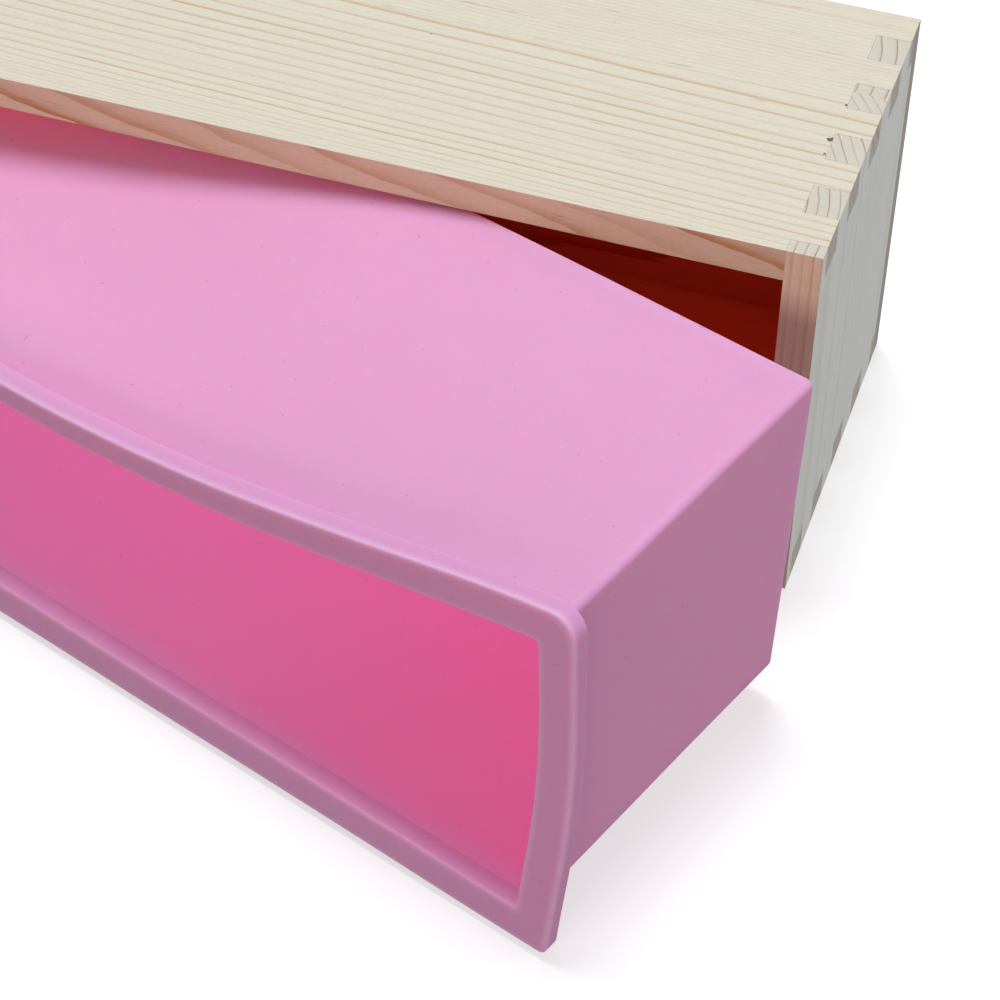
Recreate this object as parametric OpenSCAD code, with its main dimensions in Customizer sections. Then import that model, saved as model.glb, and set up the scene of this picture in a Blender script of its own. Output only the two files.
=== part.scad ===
// Soap loaf mould: a finger-jointed pine box with a pink silicone liner.
// The box lies on one long wall with its mouth towards -Y, and the liner is
// drawn part way out of the mouth with its right-hand end swung forwards.
// Origin: centre of the box's underside as it lies. +X runs to the right end.

/* [Box] */
// Outer length of the box, along X
box_len = 280; // [240:5:340]
// Outer width across the two long walls, upright while the box lies down
box_width = 85; // [80:0.5:100]
// Outer depth from the mouth to the outer face of the floor board
box_depth = 80; // [76:0.5:90]
// Thickness of the long walls and the end walls
wall_t = 7; // [6:0.5:10]
// Thickness of the floor board, which covers the edges of all the walls
floor_t = 5; // [3:0.5:7]

/* [Finger joints] */
// Width of one full finger and of one full socket
finger_w = 8.5; // [6:0.5:10]
// Width of the part finger at the mouth, cut in the end walls
mouth_finger = 3.5; // [2:0.5:6]
// Distance from the mouth to the glue line inside each long wall
side_glue_y = 47.5; // [39:0.5:60]
// Distance from the mouth to the glue line inside each end wall
end_glue_y = 51.5; // [39:0.5:60]

/* [Liner] */
// Thickness of the liner's flange
flange_t = 4; // [3:0.5:6]
// How far the flange stands out past the liner's body on every side
flange_over = 5.6; // [4:0.2:6.4]
// Thickness of the liner's side and end walls
liner_wall = 2; // [1.5:0.1:3]
// Thickness of the liner's floor
liner_floor = 3; // [2:0.5:5]
// How much each side of the body narrows from the flange to the floor
draft = 0.4; // [0:0.2:2]
// Radius of the flange's four corners, seen from the mouth
flange_r = 5; // [2:0.5:8]
// Radius of the body's outer corners and edges
body_r = 2.5; // [2:0.5:6]
// Play between the seated liner and each end wall
end_play = 1; // [0.5:0.5:3]
// Play between the seated liner and each long wall
side_play = 0.6; // [0.4:0.1:1.5]
// Gap under the seated liner's floor
floor_gap = 0.3; // [0.1:0.1:1]

/* [Liner placement] */
// Angle that the liner is turned, right-hand end forwards
liner_yaw = 19.6; // [0:0.2:20]
// Distance of the flange's front corner inside the box's right end
liner_inset = 17; // [16.5:0.5:19]
// Distance of the flange's front corner in front of the mouth
liner_out = 104.8; // [102:0.2:120]
// Height of the flange's lower edge above the surface
liner_lift = 1.7; // [1.5:0.1:1.8]
// How far the flange's upper edge leans back behind its lower edge
liner_lean = 4.9; // [0:0.1:5]

/* [Hidden] */

pine = "#e6dcc4";
pine_shade = "#d9ccb0";
pine_floor = "#ddd3bb";
silicone_pink = "#e09bc8";

// Small overrun that carries a cut past the face it leaves by
past = 1;
// Thickness of the discs that a tapered block is stretched between
thin = 0.5;
wall_depth = box_depth - floor_t;
pitch = 2 * finger_w;

body_len = box_len - 2 * wall_t - 2 * end_play;
body_width = box_width - 2 * wall_t - 2 * side_play;
flange_len = body_len + 2 * flange_over;
flange_width = body_width + 2 * flange_over;
liner_depth = flange_t + wall_depth - floor_gap;
cavity_r = body_r - liner_wall / 2;

// Span of the end walls' finger number k, from the mouth: [start, end]
function finger_start(k) = k == 0 ? 0 : mouth_finger + pitch * k - finger_w;
function finger_end(k) = mouth_finger + pitch * k;
last_finger = floor((wall_depth - mouth_finger) / pitch);

// The box is drawn with its mouth at y = 0 and then centred on the origin
module in_box_place() {
    translate([0, -box_depth / 2, 0]) children();
}

// A board of a long wall between two depths, with a socket cut at both ends
// for every finger of the end walls. It lies flat, its lower face at z = 0.
module side_board(y0, y1) {
    difference() {
        translate([-box_len / 2, y0, 0]) cube([box_len, y1 - y0, wall_t]);
        for (k = [0 : last_finger], side = [-1, 1]) {
            a = max(finger_start(k), y0);
            b = min(finger_end(k), y1);
            if (b > a) {
                low = a == y0 ? a - past : a;
                high = b == y1 ? b + past : b;
                translate([side * (box_len - wall_t + past) / 2 - (wall_t + past) / 2, low, -past])
                    cube([wall_t + past, high - low, wall_t + 2 * past]);
            }
        }
    }
}

// A board of an end wall between two depths: the part between the long walls,
// and the fingers that pass through both of them. Its left face is at x = 0.
module end_board(y0, y1) {
    union() {
        translate([0, y0, wall_t]) cube([wall_t, y1 - y0, box_width - 2 * wall_t]);
        for (k = [0 : last_finger]) {
            a = max(finger_start(k), y0);
            b = min(finger_end(k), y1);
            if (b > a) translate([0, a, 0]) cube([wall_t, b - a, box_width]);
        }
    }
}

module upper_side_rim_board() {
    color(pine) in_box_place() translate([0, 0, box_width - wall_t]) side_board(0, side_glue_y);
}

module upper_side_floor_board() {
    color(pine_shade) in_box_place()
        translate([0, 0, box_width - wall_t]) side_board(side_glue_y, wall_depth);
}

module lower_side_rim_board() {
    color(pine) in_box_place() side_board(0, side_glue_y);
}

module lower_side_floor_board() {
    color(pine_shade) in_box_place() side_board(side_glue_y, wall_depth);
}

module right_end_rim_board() {
    color(pine) in_box_place()
        translate([box_len / 2 - wall_t, 0, 0]) end_board(0, end_glue_y);
}

module right_end_floor_board() {
    color(pine_shade) in_box_place()
        translate([box_len / 2 - wall_t, 0, 0]) end_board(end_glue_y, wall_depth);
}

module left_end_rim_board() {
    color(pine) in_box_place() translate([-box_len / 2, 0, 0]) end_board(0, end_glue_y);
}

module left_end_floor_board() {
    color(pine_shade) in_box_place()
        translate([-box_len / 2, 0, 0]) end_board(end_glue_y, wall_depth);
}

module floor_board() {
    color(pine_floor) in_box_place()
        translate([-box_len / 2, wall_depth, 0]) cube([box_len, floor_t, box_width]);
}

// The liner is drawn with its flange's front face at y = 0, its right-hand end
// at x = 0 and its lower edge at z = 0. The depth runs along +Y.

// Children are copied to the four corners of the leaning flange's outline,
// drawn in from it by the inset
module at_corners(inset) {
    for (x = [-flange_len + inset, -inset], z = [inset, flange_width - inset])
        translate([x, liner_lean * z / flange_width, z]) children();
}

// A tapered block with four rounded corners
module tapered_block(y0, y1, inset, taper, r) {
    hull() {
        translate([0, y0, 0]) at_corners(inset + r)
            rotate([-90, 0, 0]) cylinder(r = r, h = thin, $fn = 32);
        translate([0, y1 - thin, 0]) at_corners(inset + taper + r)
            rotate([-90, 0, 0]) cylinder(r = r, h = thin, $fn = 32);
    }
}

// The flange is a flat plate with four round corners
module flange() {
    hull() at_corners(flange_r)
        rotate([-90, 0, 0]) cylinder(r = flange_r, h = flange_t, $fn = 48);
}

module silicone_liner() {
    color(silicone_pink)
    translate([box_len / 2 - liner_inset, -box_depth / 2 - liner_out, liner_lift])
    rotate([0, 0, -liner_yaw])
    difference() {
        union() {
            flange();
            tapered_block(flange_t / 2, liner_depth, flange_over, draft, body_r);
        }
        tapered_block(-past, liner_depth - liner_floor, flange_over + liner_wall, draft, cavity_r);
    }
}

upper_side_rim_board();
upper_side_floor_board();
lower_side_rim_board();
lower_side_floor_board();
right_end_rim_board();
right_end_floor_board();
left_end_rim_board();
left_end_floor_board();
floor_board();
silicone_liner();
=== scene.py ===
import math
import bmesh
import bpy
from mathutils import Matrix, Vector, noise


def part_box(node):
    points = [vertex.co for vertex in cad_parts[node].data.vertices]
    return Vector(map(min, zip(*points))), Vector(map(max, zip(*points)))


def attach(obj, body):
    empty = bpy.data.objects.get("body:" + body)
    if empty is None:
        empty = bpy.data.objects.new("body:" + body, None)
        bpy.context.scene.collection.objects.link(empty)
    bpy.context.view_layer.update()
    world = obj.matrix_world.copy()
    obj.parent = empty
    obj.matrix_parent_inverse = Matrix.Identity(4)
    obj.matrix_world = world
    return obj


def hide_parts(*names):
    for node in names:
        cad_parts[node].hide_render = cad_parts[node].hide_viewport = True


# A finger-jointed pine box lying on its side, with a pink silicone liner drawn
# part way out of its mouth. Everything is in metres, in the frame of the CAD.

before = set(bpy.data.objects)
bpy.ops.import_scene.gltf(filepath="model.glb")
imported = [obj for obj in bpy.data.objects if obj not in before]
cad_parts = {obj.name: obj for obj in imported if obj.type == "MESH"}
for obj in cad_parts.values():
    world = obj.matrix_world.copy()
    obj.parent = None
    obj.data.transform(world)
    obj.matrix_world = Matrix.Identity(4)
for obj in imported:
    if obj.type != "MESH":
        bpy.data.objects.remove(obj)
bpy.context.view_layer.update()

MM = 0.001

# ---------------------------------------------------------------- dimensions
BOX_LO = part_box("lower_side_rim_board")[0]
BOX_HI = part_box("floor_board")[1]
LEFT, RIGHT = BOX_LO[0], BOX_HI[0]
MOUTH, BACK = BOX_LO[1], BOX_HI[1]
BOTTOM, TOP = BOX_LO[2], BOX_HI[2]
FLOOR_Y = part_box("floor_board")[0][1]
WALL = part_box("lower_side_rim_board")[1][2] - BOTTOM
SIDE_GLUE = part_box("lower_side_rim_board")[1][1]
END_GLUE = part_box("right_end_rim_board")[1][1]
FINGER = 8.5 * MM
MOUTH_FINGER = 3.5 * MM
EDGE_SOFTNESS = 0.08 * MM
JOINT_GAP = 0.02 * MM

# The liner's own frame: x = 0 at its right-hand end, y = 0 at the front of the
# flange, z = 0 at its lower edge, before it is turned and put in its place.
LINER_YAW = math.radians(-19.6)
LINER_AT = Vector((RIGHT - 17.0 * MM, MOUTH - 104.66 * MM, BOTTOM + 1.7 * MM))
FLANGE_LEN = 275.2 * MM
FLANGE_WIDTH = 81.0 * MM
FLANGE_T = 4.0 * MM
OVERHANG = 5.6 * MM
LINER_WALL = 2.0 * MM
LINER_DEPTH = 78.7 * MM
LINER_FLOOR = 3.0 * MM
DRAFT = 0.4 * MM

# How the soft liner hangs: the angle its upper wall swings down by in the
# middle, how far its right-hand rim bows out, and its lean per unit of height
SAG_ANGLE = math.radians(16.6)
RIM_BOW = 2.3 * MM
LEAN = 0.058


# ------------------------------------------------------------------- helpers
def link(obj):
    bpy.context.scene.collection.objects.link(obj)
    return obj


def smoothstep(low, high, value):
    t = min(max((value - low) / (high - low), 0.0), 1.0)
    return t * t * (3.0 - 2.0 * t)


def object_from_bmesh(name, bm, smooth):
    bmesh.ops.recalc_face_normals(bm, faces=bm.faces)
    mesh = bpy.data.meshes.new(name)
    bm.to_mesh(mesh)
    bm.free()
    mesh.polygons.foreach_set("use_smooth", [smooth] * len(mesh.polygons))
    return link(bpy.data.objects.new(name, mesh))


class Nodes:
    """Short calls for building a material's node tree."""

    def __init__(self, name):
        self.material = bpy.data.materials.new(name)
        self.material.use_nodes = True
        self.tree = self.material.node_tree
        self.tree.nodes.clear()
        self.shader = self.add("ShaderNodeBsdfPrincipled")
        self.output = self.add("ShaderNodeOutputMaterial")
        self.join(self.shader.outputs["BSDF"], self.output.inputs["Surface"])

    def add(self, kind, **settings):
        node = self.tree.nodes.new(kind)
        for key, value in settings.items():
            setattr(node, key, value)
        return node

    def join(self, source, target):
        self.tree.links.new(source, target)

    def feed(self, socket, value):
        if isinstance(value, bpy.types.NodeSocket):
            self.join(value, socket)
        else:
            socket.default_value = value

    def math(self, operation, a, b=0.0, clamp=False):
        node = self.add("ShaderNodeMath", operation=operation, use_clamp=clamp)
        self.feed(node.inputs[0], a)
        self.feed(node.inputs[1], b)
        return node.outputs[0]

    def dot(self, vector, axis):
        node = self.add("ShaderNodeVectorMath", operation="DOT_PRODUCT")
        self.join(vector, node.inputs[0])
        node.inputs[1].default_value = axis
        return node.outputs["Value"]

    def vector(self, x, y, z):
        node = self.add("ShaderNodeCombineXYZ")
        self.feed(node.inputs[0], x)
        self.feed(node.inputs[1], y)
        self.feed(node.inputs[2], z)
        return node.outputs[0]

    def noise(self, vector, scale, detail=2.0, roughness=0.5):
        node = self.add("ShaderNodeTexNoise")
        self.join(vector, node.inputs["Vector"])
        node.inputs["Scale"].default_value = scale
        node.inputs["Detail"].default_value = detail
        node.inputs["Roughness"].default_value = roughness
        return node.outputs["Fac"]

    def remap(self, value, from_low, from_high, to_low, to_high):
        node = self.add("ShaderNodeMapRange")
        self.join(value, node.inputs["Value"])
        node.inputs["From Min"].default_value = from_low
        node.inputs["From Max"].default_value = from_high
        node.inputs["To Min"].default_value = to_low
        node.inputs["To Max"].default_value = to_high
        return node.outputs["Result"]

    def ramp(self, value, stops):
        node = self.add("ShaderNodeValToRGB")
        self.join(value, node.inputs["Fac"])
        ramp = node.color_ramp
        while len(ramp.elements) < len(stops):
            ramp.elements.new(0.5)
        for element, (place, colour) in zip(ramp.elements, stops):
            element.position = place
            element.color = (*colour, 1.0) if len(colour) == 3 else colour
        return node.outputs["Color"]

    def mix(self, factor, a, b, blend="MIX"):
        node = self.add("ShaderNodeMix", data_type="RGBA", blend_type=blend)
        self.feed(node.inputs[0], factor)
        for socket, value in ((node.inputs[6], a), (node.inputs[7], b)):
            self.feed(socket, (*value, 1.0) if isinstance(value, tuple) else value)
        return node.outputs[2]

    def bump(self, height, strength, distance):
        node = self.add("ShaderNodeBump")
        self.join(height, node.inputs["Height"])
        node.inputs["Strength"].default_value = strength
        node.inputs["Distance"].default_value = distance
        return node


def srgb(r, g, b):
    """A colour given as 0 to 255 screen values, as linear light."""
    return tuple(((c / 255 + 0.055) / 1.055) ** 2.4 for c in (r, g, b))


# ----------------------------------------------------------------- materials
def hollow_shade_mask(n, place):
    """1 on the faces that line the box's hollow, which get painted shade and painted red bounce light
    from the silicone.
    """
    part = n.add("ShaderNodeSeparateXYZ")
    n.join(place, part.inputs[0])
    near = 0.15 * MM
    rim_edge = 0.4 * MM
    middle = (BOTTOM + TOP) / 2
    inside_x = n.math("LESS_THAN", n.math("ABSOLUTE", part.outputs[0]), RIGHT - WALL + near)
    height = n.math("ABSOLUTE", n.math("SUBTRACT", part.outputs[2], middle))
    inside_z = n.math("LESS_THAN", height, middle - WALL + near)
    inside_y = n.math("LESS_THAN", part.outputs[1], FLOOR_Y + near)
    behind_rim = n.math("GREATER_THAN", part.outputs[1], MOUTH + rim_edge)
    inside = n.math("MULTIPLY", n.math("MULTIPLY", inside_x, inside_z), inside_y)
    return n.math("MULTIPLY", inside, behind_rim)


def ring_number(n, u, v, w, growth, wave):
    """The count of rings out to a point, with the rings wandering a little."""
    radius = n.math("SQRT", n.math("ADD", n.math("MULTIPLY", u, u), n.math("MULTIPLY", v, v)))
    slow = n.noise(n.vector(n.math("MULTIPLY", u, 0.5), v, n.math("MULTIPLY", w, 0.16)), 0.12, 2.0)
    quick = n.noise(n.vector(u, v, n.math("MULTIPLY", w, 0.12)), 0.9, 2.0)
    radius = n.math("ADD", radius, n.remap(slow, 0.0, 1.0, -3.2 * wave, 3.2 * wave))
    radius = n.math("ADD", radius, n.remap(quick, 0.0, 1.0, -0.45 * wave, 0.45 * wave))
    low, high = growth[0][0], growth[-1][0]
    first, last = growth[0][1], growth[-1][1]
    curve = n.add("ShaderNodeFloatCurve")
    points = curve.mapping.curves[0].points
    while len(points) < len(growth):
        points.new(0.5, 0.5)
    for point, (distance, ring) in zip(points, growth):
        point.location = ((distance - low) / (high - low), (ring - first) / (last - first))
        point.handle_type = "VECTOR"
    curve.mapping.update()
    n.join(n.remap(radius, low, high, 0.0, 1.0), curve.inputs["Value"])
    return n.math("MULTIPLY", curve.outputs["Value"], last - first)


THIN_BAND = ((0.0, 0.4), (0.05, 0.0), (0.6, 0.03), (0.8, 0.22), (0.9, 1.0), (0.97, 0.9))
END_BAND = ((0.0, 0.3), (0.04, 0.0), (0.76, 0.04), (0.88, 0.2), (0.94, 1.0), (0.99, 0.9))
WIDE_BAND = ((0.0, 0.25), (0.04, 0.0), (0.42, 0.04), (0.68, 0.32), (0.88, 0.9), (0.97, 1.0))


def latewood(n, rings, year, drift, shape, weakest, strongest):
    """How dark a point is within its year's band. The band darkens slowly
    outwards and stops sharply, and some years' bands are stronger."""
    strength = n.math("MULTIPLY", n.remap(year, 0.0, 1.0, weakest, strongest), drift)
    band = n.ramp(n.math("FRACT", rings), [(at, (value,) * 3) for at, value in shape])
    return n.math("MULTIPLY", band, strength, clamp=True)


def chips_and_pit_shade(n, place, colour, spots):
    """Small dark chips, specks and a hole with ragged outlines: torn wood, and
    painted shade inside the pits. spots lists (x, y, radius) in mm on the face
    of the board that is seen from above."""
    if not spots:
        return colour
    ragged = n.noise(place, 1600.0, 2.0)
    for x, y, radius in spots:
        away = n.add("ShaderNodeVectorMath", operation="DISTANCE")
        n.join(place, away.inputs[0])
        away.inputs[1].default_value = (x * MM, y * MM, TOP)
        reach = n.math("MULTIPLY", n.remap(ragged, 0.3, 0.7, 0.6, 1.25), radius * MM)
        dark = n.math("LESS_THAN", away.outputs["Value"], reach)
        # Each spot is darkened: torn wood, and painted shade inside the pit
        colour = n.mix(n.math("MULTIPLY", dark, 0.85), colour, srgb(78, 44, 24))
    return colour


def pine(name, axes, pith, growth, pale=(1.0, 1.0, 1.0), rim=(0.90, 0.72, 0.60),
         end_shade=(0.90, 0.905, 0.90), contrast=1.0, end_contrast=1.0, rim_contrast=1.0,
         wave=0.25, spots=()):
    """Pine as solid rings round a pith line, so every face shows its own cut of
    the same log. axes are the grain and the two directions square to it, and
    pith is a point on the pith line. growth lists (distance from the pith in
    mm, ring number). pale tints the whole board, and on the end walls is partly
    painted cool light. rim tints its edge round the mouth with painted pink
    bounce light and painted shade. end_shade tints its end grain."""
    n = Nodes(name)
    coordinates = n.add("ShaderNodeTexCoord")
    place, normal = coordinates.outputs["Object"], coordinates.outputs["Normal"]
    offset = n.add("ShaderNodeVectorMath", operation="SUBTRACT")
    n.join(place, offset.inputs[0])
    offset.inputs[1].default_value = pith
    w, u, v = [n.math("MULTIPLY", n.dot(offset.outputs[0], axis), 1000.0) for axis in axes]
    rings = ring_number(n, u, v, w, growth, wave)
    random_year = n.add("ShaderNodeTexWhiteNoise", noise_dimensions="1D")
    n.join(n.math("FLOOR", rings), random_year.inputs["W"])
    year = random_year.outputs["Value"]
    slow = n.noise(n.vector(u, v, n.math("MULTIPLY", w, 0.25)), 0.1, 2.0)
    drift = n.remap(slow, 0.3, 0.7, 0.7, 1.2)

    # Long grain: cream, with tan to orange bands
    late = latewood(n, rings, year, drift, THIN_BAND, 0.42 * contrast, 1.1 * contrast)
    mottle = n.noise(n.vector(u, v, n.math("MULTIPLY", w, 0.1)), 0.09, 3.0)
    early = n.mix(mottle, srgb(231, 218, 200), srgb(230, 225, 204))
    band = n.mix(year, srgb(208, 189, 158), srgb(213, 175, 137))
    # pale tints the long grain; on the end walls it is partly painted cool light
    long_grain = n.mix(1.0, n.mix(late, early, band), pale, "MULTIPLY")

    # Sawn edges round the mouth: broad bands, and the rim tint, which is painted pink bounce light and
    # painted shade that make them warmer and darker
    wide = latewood(n, rings, year, drift, WIDE_BAND, 0.25 * rim_contrast, 1.1 * rim_contrast)
    edge_grain_and_painted_bounce = n.mix(1.0, n.mix(wide, early, srgb(196, 150, 102)), rim, "MULTIPLY")
    edge_grain_and_painted_bounce = n.mix(1.0, edge_grain_and_painted_bounce, pale, "MULTIPLY")
    at_rim = n.remap(n.dot(normal, (0, -1, 0)), 0.7, 0.9, 0.0, 1.0)
    long_grain = n.mix(at_rim, long_grain, edge_grain_and_painted_bounce)

    # End grain: greyer, with thin red-brown rings
    end_late = latewood(n, rings, year, drift, END_BAND, 0.5 * end_contrast, end_contrast)
    end_grain = n.mix(end_late, srgb(230, 222, 205), srgb(160, 116, 90))
    end_grain = n.mix(1.0, end_grain, end_shade, "MULTIPLY")
    facing_end = n.remap(n.math("ABSOLUTE", n.dot(normal, axes[0])), 0.6, 0.9, 0.0, 1.0)
    colour = n.mix(facing_end, long_grain, end_grain)

    # Fine fibres along the grain, pores, and scattered short resin canals
    fibre = n.noise(n.vector(u, v, n.math("MULTIPLY", w, 0.035)), 4.2, 3.0, 0.65)
    pores = n.noise(n.vector(u, v, n.math("MULTIPLY", w, 0.3)), 3.4, 2.0, 0.7)
    fibre_shade = n.remap(fibre, 0.3, 0.72, 0.925, 1.045)
    pore_shade = n.remap(pores, 0.25, 0.75, 0.95, 1.04)
    shade = n.math("MULTIPLY", fibre_shade, pore_shade)
    colour = n.mix(1.0, colour, n.vector(shade, shade, shade), "MULTIPLY")
    narrow = n.vector(n.math("MULTIPLY", u, 1.9), n.math("MULTIPLY", v, 1.9), n.math("MULTIPLY", w, 0.11))
    canal = n.noise(narrow, 1.0, 1.0, 0.4)
    colour = n.mix(n.remap(canal, 0.73, 0.8, 0.0, 0.5), colour, srgb(176, 126, 88))

    # The hollow's faces are darkened and reddened: painted shade and painted red bounce light from the
    # silicone
    painted_red_shade = n.mix(1.0, colour, (0.80, 0.30, 0.18), "MULTIPLY")
    colour = n.mix(hollow_shade_mask(n, place), colour, painted_red_shade)
    colour = chips_and_pit_shade(n, place, colour, spots)
    n.join(colour, n.shader.inputs["Base Color"])

    n.join(n.remap(fibre, 0.2, 0.8, 0.72, 0.58), n.shader.inputs["Roughness"])
    n.shader.inputs["Specular IOR Level"].default_value = 0.25
    height = n.math("ADD", n.math("MULTIPLY", fibre, 0.7), n.math("MULTIPLY", pores, 0.4))
    n.join(n.bump(height, 0.3, 0.0001).outputs["Normal"], n.shader.inputs["Normal"])
    return n.material


def silicone(name, base, glow=0.0):
    """Matte pink silicone, softly translucent, with a faint clouding and dust.
    glow stands for the light that comes through the thin walls, and fades out
    towards the mouth with the mesh's value deep. A second value on the mesh
    paints light: above 0 it is a painted highlight that makes edges paler, and
    below 0 a painted shade of deeper pink in hollows."""
    n = Nodes(name)
    place = n.add("ShaderNodeTexCoord").outputs["Object"]
    cloud = n.noise(place, 30.0, 3.0, 0.55)
    lighter = tuple(min(c * 1.035, 1.0) for c in base)
    colour = n.mix(cloud, base, lighter)
    painted_light = n.add("ShaderNodeAttribute", attribute_name="painted_light").outputs["Fac"]
    # Painted highlight: paler where the mesh's value is above 0. Painted shade: deeper pink where it is
    # below 0.
    colour = n.mix(n.math("MAXIMUM", painted_light, 0.0), colour, srgb(240, 208, 236))
    colour = n.mix(n.math("MAXIMUM", n.math("MULTIPLY", painted_light, -1.0), 0.0), colour, srgb(228, 110, 172))
    speck = n.remap(n.noise(place, 1500.0, 0.0), 0.84, 0.87, 0.0, 0.35)
    colour = n.mix(speck, colour, srgb(130, 80, 110))
    n.join(colour, n.shader.inputs["Base Color"])
    s = n.shader
    s.subsurface_method = "RANDOM_WALK"
    s.inputs["Subsurface Weight"].default_value = 0.9
    s.inputs["Subsurface Radius"].default_value = (1.0, 0.2, 0.3)
    s.inputs["Subsurface Scale"].default_value = 4.5 * MM
    s.inputs["Roughness"].default_value = 0.55
    s.inputs["IOR"].default_value = 1.42
    s.inputs["Sheen Weight"].default_value = 0.08
    s.inputs["Sheen Roughness"].default_value = 0.45
    s.inputs["Sheen Tint"].default_value = (0.86, 0.88, 1.0, 1.0)
    if glow:
        deep = n.add("ShaderNodeAttribute", attribute_name="deep").outputs["Fac"]
        n.join(n.mix(deep, (0.0, 0.0, 0.0), (1.0, 0.26, 0.54)), s.inputs["Emission Color"])
    s.inputs["Emission Strength"].default_value = glow
    grain = n.noise(place, 900.0, 3.0, 0.6)
    waves = n.noise(place, 60.0, 2.0)
    height = n.math("ADD", n.math("MULTIPLY", grain, 0.5), n.math("MULTIPLY", waves, 1.0))
    n.join(n.bump(height, 0.2, 0.0001).outputs["Normal"], s.inputs["Normal"])
    return n.material


def plain_floor():
    n = Nodes("pale_floor")
    place = n.add("ShaderNodeTexCoord").outputs["Object"]
    colour = n.mix(n.noise(place, 3.0), (0.62, 0.62, 0.62), (0.65, 0.65, 0.65))
    n.join(colour, n.shader.inputs["Base Color"])
    n.shader.inputs["Roughness"].default_value = 0.9
    n.shader.inputs["Specular IOR Level"].default_value = 0.1
    n.shader.inputs["Emission Color"].default_value = (1.0, 1.0, 1.0, 1.0)
    n.shader.inputs["Emission Strength"].default_value = 0.55
    return n.material


X_AXIS, Y_AXIS, Z_AXIS = (1, 0, 0), (0, 1, 0), (0, 0, 1)


def tilted(yaw_deg, roll_deg):
    """The grain, across and through axes of a board whose grain runs nearly
    along X, turned a little about Z and then about Y."""
    yaw = Matrix.Rotation(math.radians(yaw_deg), 3, "Z")
    turn = yaw @ Matrix.Rotation(math.radians(roll_deg), 3, "Y")
    return [tuple(turn @ Vector(axis)) for axis in (X_AXIS, Y_AXIS, Z_AXIS)]


def side_rim_pine(name, z, flip):
    """Quarter-cut board whose rings tighten towards the mouth. The pith lies
    beyond the board's far edge, and past its outer face. The wall that is on
    top has a few dark chips beside its fingers, darkened partly with painted
    shade."""
    pith = (RIGHT, MOUTH + 62.0 * MM, z + flip * 12.0 * MM)
    growth = [(10.0, 0.0), (23.5, 3.5), (40.8, 9.5), (52.6, 13.8), (60.6, 17.4), (63.5, 19.9),
              (80.4, 37.0)]
    chips = [(132.6, -4.9, 0.75), (132.6, -9.5, 0.3), (132.8, 6.9, 0.35), (50.0, 2.0, 0.2)]
    spots = chips if flip > 0 else []
    # rim is painted pink bounce light and painted shade on this board's edge round the mouth
    return pine(name, tilted(-2.3, 0.0), pith, growth, wave=0.16, end_shade=(0.84, 0.87, 0.90),
                contrast=0.85, end_contrast=0.8, rim=(0.94, 0.79, 0.67), spots=spots)


def side_floor_pine(name, z, flip):
    """Fine-grained board next to the floor board."""
    pith = (RIGHT, MOUTH - 60.0 * MM, z - flip * 20.0 * MM)
    growth = [(70.0, 0.0), (150.0, 66.0)]
    return pine(name, tilted(-0.6, 0.0), pith, growth, contrast=0.5, wave=0.1,
                end_shade=(0.84, 0.87, 0.90), end_contrast=0.7)


def end_pine(name, x, inward, spacing, y):
    """End-wall board: the grain stands up, and the pith is inside the box.
    spacing is the rings' width in mm. pale makes the board paler and cooler,
    partly as painted cool light on the box's ends; rim is painted pink bounce
    light and painted shade on its edge round the mouth."""
    pith = (x + inward * 70.0 * MM, y, BOTTOM)
    growth = [(40.0, 0.0), (120.0, 80.0 / spacing)]
    return pine(name, (Z_AXIS, X_AXIS, Y_AXIS), pith, growth, pale=(1.14, 1.32, 1.49),
                contrast=0.4, end_contrast=0.8, wave=0.12, rim=(0.92, 0.71, 0.54), rim_contrast=0.4)


def floor_pine(name):
    """The thin board that covers the edges of the walls."""
    pith = (0.0, BACK + 40.0 * MM, BOTTOM + 20.0 * MM)
    growth = [(20.0, 0.0), (110.0, 60.0)]
    return pine(name, tilted(1.0, 0.0), pith, growth, contrast=0.45, wave=0.3,
                end_shade=(0.70, 0.73, 0.75))


# -------------------------------------------------------------- wooden boards
def finger_spans(low, high):
    """The depths taken by the end walls' fingers between two depths."""
    spans = []
    k = 0
    while True:
        end = MOUTH + MOUTH_FINGER + 2 * FINGER * k
        start = MOUTH if k == 0 else end - FINGER
        if start >= FLOOR_Y:
            return spans
        a, b = max(start, low), min(end, high)
        if b > a:
            spans.append((a, b))
        k += 1


def comb_outline(low, high, solid, cut, spans, into):
    """One toothed edge of a board, as (position, depth) points going up in
    depth. It stands at solid outside the spans and at cut inside them; into is
    the small clearance that keeps neighbouring boards from touching."""
    points = []
    at = low
    for a, b in spans:
        if a > at:
            points += [(solid, at), (solid, a - into)]
        points += [(cut, a - into if a > low else a), (cut, b + into if b < high else b)]
        at = b + into
    if at < high:
        points += [(solid, at), (solid, high)]
    return points


def extrude_board(name, outline, to_space, thickness, soften, material):
    """A prism over a flat outline, with every edge softened."""
    bm = bmesh.new()
    base = [bm.verts.new(to_space(p, q, 0.0)) for p, q in outline]
    face = bm.faces.new(base)
    grown = bmesh.ops.extrude_face_region(bm, geom=[face])
    top = [g for g in grown["geom"] if isinstance(g, bmesh.types.BMVert)]
    shift = Vector(to_space(0.0, 0.0, thickness)) - Vector(to_space(0.0, 0.0, 0.0))
    bmesh.ops.translate(bm, verts=top, vec=shift)
    bmesh.ops.recalc_face_normals(bm, faces=bm.faces)
    bmesh.ops.bevel(bm, geom=list(bm.edges), offset=soften, segments=2, affect="EDGES",
                    clamp_overlap=True, profile=0.6)
    piece = object_from_bmesh(name, bm, False)
    piece.data.materials.append(material)
    return piece


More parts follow.
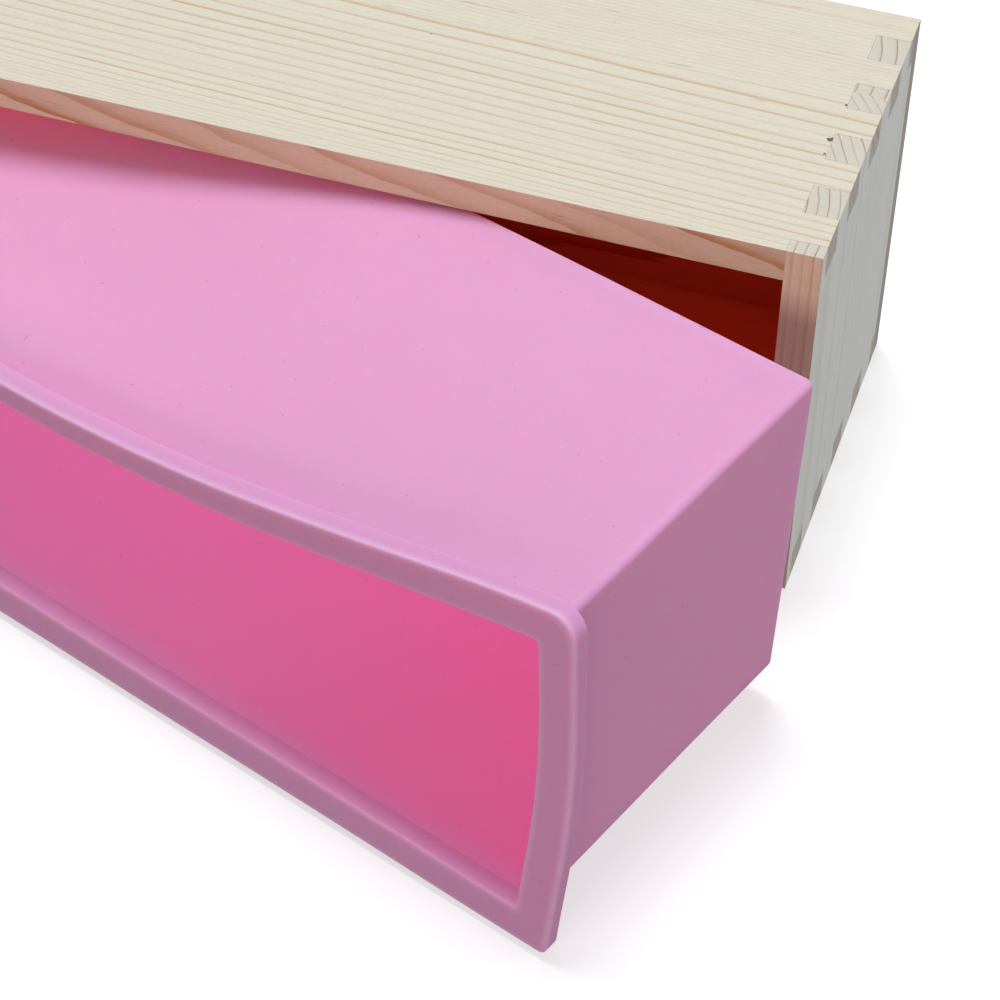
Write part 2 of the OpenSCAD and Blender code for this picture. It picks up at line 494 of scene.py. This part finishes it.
def side_board(node, low, high, z, material):
    """A long wall's board. Its sockets take the end walls' fingers."""
    spans = finger_spans(low, high)
    right = comb_outline(low, high, RIGHT, RIGHT - WALL - JOINT_GAP, spans, JOINT_GAP)
    left = [(-x, y) for x, y in right]
    outline = right + left[::-1]
    piece = extrude_board(node + "_pine", outline, lambda p, q, r: (p, q, z + r), WALL,
                          EDGE_SOFTNESS, material)
    return finish_board(piece, node)


def end_board(node, low, high, x, material):
    """An end wall's board, with fingers through both long walls."""
    spans = finger_spans(low, high)
    middle = (TOP + BOTTOM) / 2
    half = (TOP - BOTTOM) / 2
    upper = comb_outline(low, high, half - WALL, half - JOINT_GAP, spans, -JOINT_GAP)
    outline = [(middle + z, y) for z, y in upper] + [(middle - z, y) for z, y in upper[::-1]]
    piece = extrude_board(node + "_pine", outline, lambda p, q, r: (x + r, q, p), WALL,
                          EDGE_SOFTNESS, material)
    return finish_board(piece, node)


def finish_board(piece, node):
    """Puts the piece in place of its CAD node, on the box's body."""
    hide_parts(node)
    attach(piece, "box")
    return piece


def build_box():
    upper = TOP - WALL
    for name, z, flip in (("upper_side", upper, 1), ("lower_side", BOTTOM, -1)):
        middle = z + WALL / 2
        side_board(name + "_rim_board", MOUTH, SIDE_GLUE, z,
                   side_rim_pine(name + "_rim_wood", middle, flip))
        side_board(name + "_floor_board", SIDE_GLUE, FLOOR_Y, z,
                   side_floor_pine(name + "_floor_wood", middle, flip))
    for name, x, inward in (("right_end", RIGHT - WALL, -1), ("left_end", LEFT, 1)):
        middle = x + WALL / 2
        end_board(name + "_rim_board", MOUTH, END_GLUE, x,
                  end_pine(name + "_rim_wood", middle, inward, 2.0, MOUTH + 2.0 * MM))
        end_board(name + "_floor_board", END_GLUE, FLOOR_Y, x,
                  end_pine(name + "_floor_wood", middle, inward, 3.0, MOUTH + 53.0 * MM))
    outline = [(LEFT, BOTTOM), (RIGHT, BOTTOM), (RIGHT, TOP), (LEFT, TOP)]
    board = extrude_board("floor_board_pine", outline, lambda p, q, r: (p, FLOOR_Y + r, q),
                          BACK - FLOOR_Y, 0.3 * MM, floor_pine("floor_wood"))
    finish_board(board, "floor_board")


# ------------------------------------------------------------------ the liner
LONG_STEPS, SHORT_STEPS, CORNER_STEPS = 110, 34, 7
INSIDE, BODY, FLANGE = 0, 1, 2


def ring(inset, upper_r, lower_r):
    """A rounded rectangle in the flange's plane, drawn in by inset."""
    left, right = -FLANGE_LEN + inset, -inset
    low, high = inset, FLANGE_WIDTH - inset
    corners = [(right, low, lower_r, -90), (right, high, upper_r, 0),
               (left, high, upper_r, 90), (left, low, lower_r, 180)]
    steps = [SHORT_STEPS, LONG_STEPS, SHORT_STEPS, LONG_STEPS]
    arcs = []
    for x, z, r, start in corners:
        cx = x - math.copysign(r, x - (left + right) / 2)
        cz = z - math.copysign(r, z - (low + high) / 2)
        angles = [math.radians(start + 90 * i / CORNER_STEPS) for i in range(CORNER_STEPS + 1)]
        arcs.append([(cx + r * math.cos(angle), cz + r * math.sin(angle)) for angle in angles])
    points = []
    for k in range(4):
        points += arcs[k]
        a, b = arcs[k][-1], arcs[(k + 1) % 4][0]
        for i in range(1, steps[k]):
            t = i / steps[k]
            points.append((a[0] + (b[0] - a[0]) * t, a[1] + (b[1] - a[1]) * t))
    return points


def fillet(start, end, corner, steps):
    """Points of a quarter turn from start to end about their corner."""
    points = []
    for i in range(steps + 1):
        t = math.pi / 2 * i / steps
        a, b = 1 - math.sin(t), 1 - math.cos(t)
        points.append((corner[0] + (start[0] - corner[0]) * a + (end[0] - corner[0]) * b,
                       corner[1] + (start[1] - corner[1]) * a + (end[1] - corner[1]) * b))
    return points


def between(start, end, steps):
    """The points that divide a straight line into equal steps, without its ends."""
    return [(start[0] + (end[0] - start[0]) * i / steps, start[1] + (end[1] - start[1]) * i / steps)
            for i in range(1, steps)]


def liner_profile():
    """The liner's section from the middle of its floor inside, over the
    flange, to the middle of its floor outside. A row is (inset, depth, upper
    corner radius, lower corner radius, painted light, skin), where painted
    light above 0 is a painted highlight and below 0 is painted shade."""
    inner = OVERHANG + LINER_WALL
    floor_in = LINER_DEPTH - LINER_FLOOR
    mouth_r, front_r, back_r = 0.5 * MM, 0.4 * MM, 0.9 * MM
    hollow_r, foot_r, cove_r = 0.9 * MM, 1.1 * MM, 2.0 * MM
    centre = FLANGE_WIDTH / 2 - 1.2 * MM
    foot = OVERHANG + DRAFT
    inner_low = (inner + DRAFT, floor_in - cove_r)
    cove = fillet((inner + DRAFT + cove_r, floor_in), inner_low, (inner + DRAFT, floor_in), 5)
    mouth = fillet((inner, mouth_r), (inner - mouth_r, 0.0), (inner, 0.0), 4)
    front = fillet((front_r, 0.0), (0.0, front_r), (0.0, 0.0), 5)
    back = fillet((0.0, FLANGE_T - back_r), (back_r, FLANGE_T), (0.0, FLANGE_T), 5)
    hollow = fillet((OVERHANG - hollow_r, FLANGE_T), (OVERHANG, FLANGE_T + hollow_r),
                    (OVERHANG, FLANGE_T), 4)
    outer = fillet((foot, LINER_DEPTH - foot_r), (foot + foot_r, LINER_DEPTH), (foot, LINER_DEPTH), 6)
    body = between(hollow[-1], outer[0], 30)
    # Each part's fifth value is painted light: a painted highlight on the mouth, the front edge and the
    # outer corner, and painted shade in the groove behind the flange
    parts = [
        ([(centre, floor_in)] + between((centre, floor_in), cove[0], 9), 0.6, 0.6, 0.0, INSIDE),
        (cove, 0.6, 0.6, 0.0, INSIDE),
        (between(inner_low, mouth[0], 22), 1.2, 1.2, 0.0, INSIDE),
        (mouth, 1.2, 1.2, 0.3, FLANGE),
        (between(mouth[-1], front[0], 6), 5.0, 1.4, 0.0, FLANGE),
        (front, 5.0, 1.4, 0.45, FLANGE),
        (between(front[-1], back[0], 3), 5.0, 1.4, 0.0, FLANGE),
        (back, 5.0, 1.4, 0.0, FLANGE),
        (between(back[-1], hollow[0], 4), 3.6, 1.6, -0.1, FLANGE),
        (hollow, 1.6, 1.6, -0.35, BODY),
        (body[:1], 1.6, 1.6, -0.05, BODY),
        (body[1:], 1.5, 1.5, 0.0, BODY),
        (outer, 1.5, 1.5, 0.12, BODY),
        (between(outer[-1], (centre, LINER_DEPTH), 9) + [(centre, LINER_DEPTH)], 0.6, 0.6, 0.0, BODY),
    ]
    rows = []
    last_upper, last_lower = 0.6, 0.6
    for points, upper, lower, painted_light, skin in parts:
        for i, (inset, depth) in enumerate(points):
            t = (i + 1) / len(points)
            rows.append((inset, depth, (last_upper + (upper - last_upper) * t) * MM,
                         (last_lower + (lower - last_lower) * t) * MM, painted_light, skin))
        last_upper, last_lower = upper, lower
    return rows


def bend(p):
    """The soft liner's own shape: its upper wall swings down in the middle
    about its back edge, its right-hand rim bows out, and it leans back."""
    x, y, z = p
    along = min(max(-x / FLANGE_LEN, 0.0), 1.0)
    depth = min(max(y / LINER_DEPTH, 0.0), 1.0)
    height = min(max(z / FLANGE_WIDTH, 0.0), 1.0)
    right = smoothstep(0.3, 1.0, 1 - along)
    swing = SAG_ANGLE * math.sin(math.pi * along) ** 1.35
    swing *= smoothstep(0.15, 0.88, height) * (1 - depth ** 6)
    from_hinge = Vector((y - LINER_DEPTH, z - (FLANGE_WIDTH - OVERHANG - DRAFT)))
    y += from_hinge.x * (math.cos(swing) - 1) - from_hinge.y * math.sin(swing)
    z += from_hinge.x * math.sin(swing) + from_hinge.y * (math.cos(swing) - 1)
    z += 1.2 * MM * depth * smoothstep(0.5, 1.0, height) * right
    bow = RIM_BOW * math.sin(math.pi * height) ** 1.3 * (1 - depth) ** 1.5
    x += bow * smoothstep(0.75, 1.0, 1 - along)
    x += 0.3 * MM * depth * smoothstep(0.9, 1.0, 1 - along)
    y += LEAN * z * smoothstep(1.0, 0.6, along)
    wander = noise.noise(Vector(p) * 28.0) * 0.22 * MM
    return Vector((x, y, z + wander))


def place_liner(p):
    """From the liner's own frame to the shared frame."""
    return Matrix.Rotation(LINER_YAW, 3, "Z") @ p + LINER_AT


def build_liner():
    rows = liner_profile()
    bm = bmesh.new()
    painted_light_layer = bm.verts.layers.float.new("painted_light")
    deeps = bm.verts.layers.float.new("deep")
    loops = []
    for inset, depth, upper_r, lower_r, painted_light, skin in rows:
        loop = []
        for x, z in ring(inset, upper_r, lower_r):
            vert = bm.verts.new(place_liner(bend((x, depth, z))))
            vert[painted_light_layer] = painted_light
            if skin == INSIDE:
                vert[deeps] = smoothstep(0.5 * MM, 10.0 * MM, depth)
                # Painted shade: the inside turns a deeper pink towards its right-hand end, fading out at
                # the mouth
                vert[painted_light_layer] = -0.75 * vert[deeps] * smoothstep(0.5, 0.0, -x / FLANGE_LEN)
            loop.append(vert)
        if skin == BODY and OVERHANG <= inset < OVERHANG + 2 * DRAFT:
            paint_corner_highlights(loop, painted_light_layer)
        loops.append(loop)
    for k, (a, b) in enumerate(zip(loops, loops[1:])):
        for i in range(len(a)):
            j = (i + 1) % len(a)
            face = bm.faces.new((a[i], a[j], b[j], b[i]))
            face.material_index = rows[k + 1][5]
    close_floor(bm, loops[0], INSIDE)
    close_floor(bm, loops[-1], BODY)
    piece = object_from_bmesh("silicone_liner_skin", bm, True)
    # The flange's pink is a little darker and cooler than the body's: a painted shade for how light falls
    # on and passes through the thin flange
    body_pink, flange_pink_shaded = srgb(227, 165, 209), srgb(219, 160, 206)
    piece.data.materials.append(silicone("pink_silicone_inside", body_pink, 0.195))
    piece.data.materials.append(silicone("pink_silicone_body", body_pink))
    piece.data.materials.append(silicone("pink_silicone_flange_shaded", flange_pink_shaded))
    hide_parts("silicone_liner")
    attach(piece, "liner")
    return piece


def paint_corner_highlights(loop, painted_light_layer):
    """Paints a faint highlight on the four long corner edges of the body, which makes them slightly
    paler.
    """
    at = 0
    for steps in (SHORT_STEPS, LONG_STEPS, SHORT_STEPS, LONG_STEPS):
        for i in range(1, CORNER_STEPS):
            loop[at + i][painted_light_layer] = 0.06
        at += CORNER_STEPS + steps


def close_floor(bm, loop, material_index):
    """Closes a long narrow loop with quads between its two long sides."""
    count = len(loop)
    short_half = SHORT_STEPS // 2
    first = CORNER_STEPS + short_half
    up = [loop[(first + i) % count] for i in range(count // 2 + 1)]
    down = [loop[(first - i) % count] for i in range(count // 2 + 1)]
    strip = [bm.faces.new((up[0], up[1], down[1])), bm.faces.new((up[-2], up[-1], down[-2]))]
    for i in range(1, count // 2 - 1):
        strip.append(bm.faces.new((up[i], up[i + 1], down[i + 1], down[i])))
    for face in strip:
        face.material_index = material_index


# ------------------------------------------------------ camera, floor, lights
def build_camera():
    """The viewpoint: high on the right, close in on the box's right-hand end."""
    target = Vector((83.7, -52.6, 18.0)) * MM
    azimuth, elevation, roll = [math.radians(v) for v in (17.53, 43.77, 1.35)]
    distance = 600.0 * MM
    back = Vector((math.sin(azimuth) * math.cos(elevation), -math.cos(azimuth) * math.cos(elevation),
                   math.sin(elevation)))
    level = Vector((math.cos(azimuth), math.sin(azimuth), 0.0))
    upright = back.cross(level)
    right = level * math.cos(roll) + upright * math.sin(roll)
    up = upright * math.cos(roll) - level * math.sin(roll)
    data = bpy.data.cameras.new("camera")
    data.sensor_width = 36.0
    data.lens = 109.47
    data.clip_start = 0.01
    data.clip_end = 20.0
    camera = link(bpy.data.objects.new("camera", data))
    turn = Matrix((right, up, back)).transposed()
    camera.matrix_world = Matrix.Translation(target + back * distance) @ turn.to_4x4()
    bpy.context.scene.camera = camera


def build_floor():
    """A plain pale floor, which the object's own light doesn't bounce off."""
    bm = bmesh.new()
    bmesh.ops.create_grid(bm, x_segments=8, y_segments=8, size=3.0)
    floor = object_from_bmesh("studio_floor", bm, False)
    floor.location.z = BOTTOM - 0.05 * MM
    floor.data.materials.append(plain_floor())
    floor.visible_diffuse = False
    floor.visible_glossy = False


def area_light(name, place, aim, size, power, colour=(1.0, 1.0, 1.0)):
    data = bpy.data.lights.new(name, "AREA")
    data.shape = "RECTANGLE"
    data.size, data.size_y = size
    data.energy = power
    data.color = colour
    lamp = link(bpy.data.objects.new(name, data))
    lamp.location = place
    direction = Vector(aim) - Vector(place)
    lamp.rotation_euler = direction.to_track_quat("-Z", "Y").to_euler()
    return lamp


def build_lights():
    """A soft light high up and a little behind, a warm softbox low in front
    that reaches into the liner, a cool fill from the right, two faint red lamps
    for the light that the pink silicone throws on the wood, and a dim sky."""
    data = bpy.data.lights.new("overhead_light", "SUN")
    data.energy = 2.08
    data.angle = math.radians(24)
    data.color = (0.91, 1.0, 1.045)
    overhead = link(bpy.data.objects.new("overhead_light", data))
    overhead.rotation_euler = (math.radians(-10), math.radians(-10), 0)
    area_light("front_softbox", (-0.08, -1.5, 0.42), (0.05, -0.1, 0.04), (1.3, 0.5), 7.3,
               (1.0, 0.785, 0.78))
    area_light("cool_fill", (1.2, 0.45, 0.45), (0.12, -0.02, 0.04), (0.9, 0.7), 5.5,
               (0.87, 0.87, 0.98))
    spill = area_light("red_spill", (0.10, 0.0, 0.076), (0.10, 0.03, 0.0), (0.05, 0.03), 0.009,
                       (1.0, 0.13, 0.07))
    under_rim = area_light("red_bounce", (0.0, -0.022, 0.0775), (0.0, -0.04, 0.06),
                           (0.26, 0.012), 0.020, (1.0, 0.02, 0.06))
    spill.visible_camera = False
    under_rim.visible_camera = False
    world = bpy.data.worlds.new("studio")
    world.use_nodes = True
    background = world.node_tree.nodes["Background"]
    background.inputs["Color"].default_value = (1.0, 0.93, 0.90, 1.0)
    background.inputs["Strength"].default_value = 0.25
    bpy.context.scene.world = world
    bpy.context.scene.view_settings.view_transform = "Standard"


build_camera()
build_floor()
build_lights()
build_box()
build_liner()
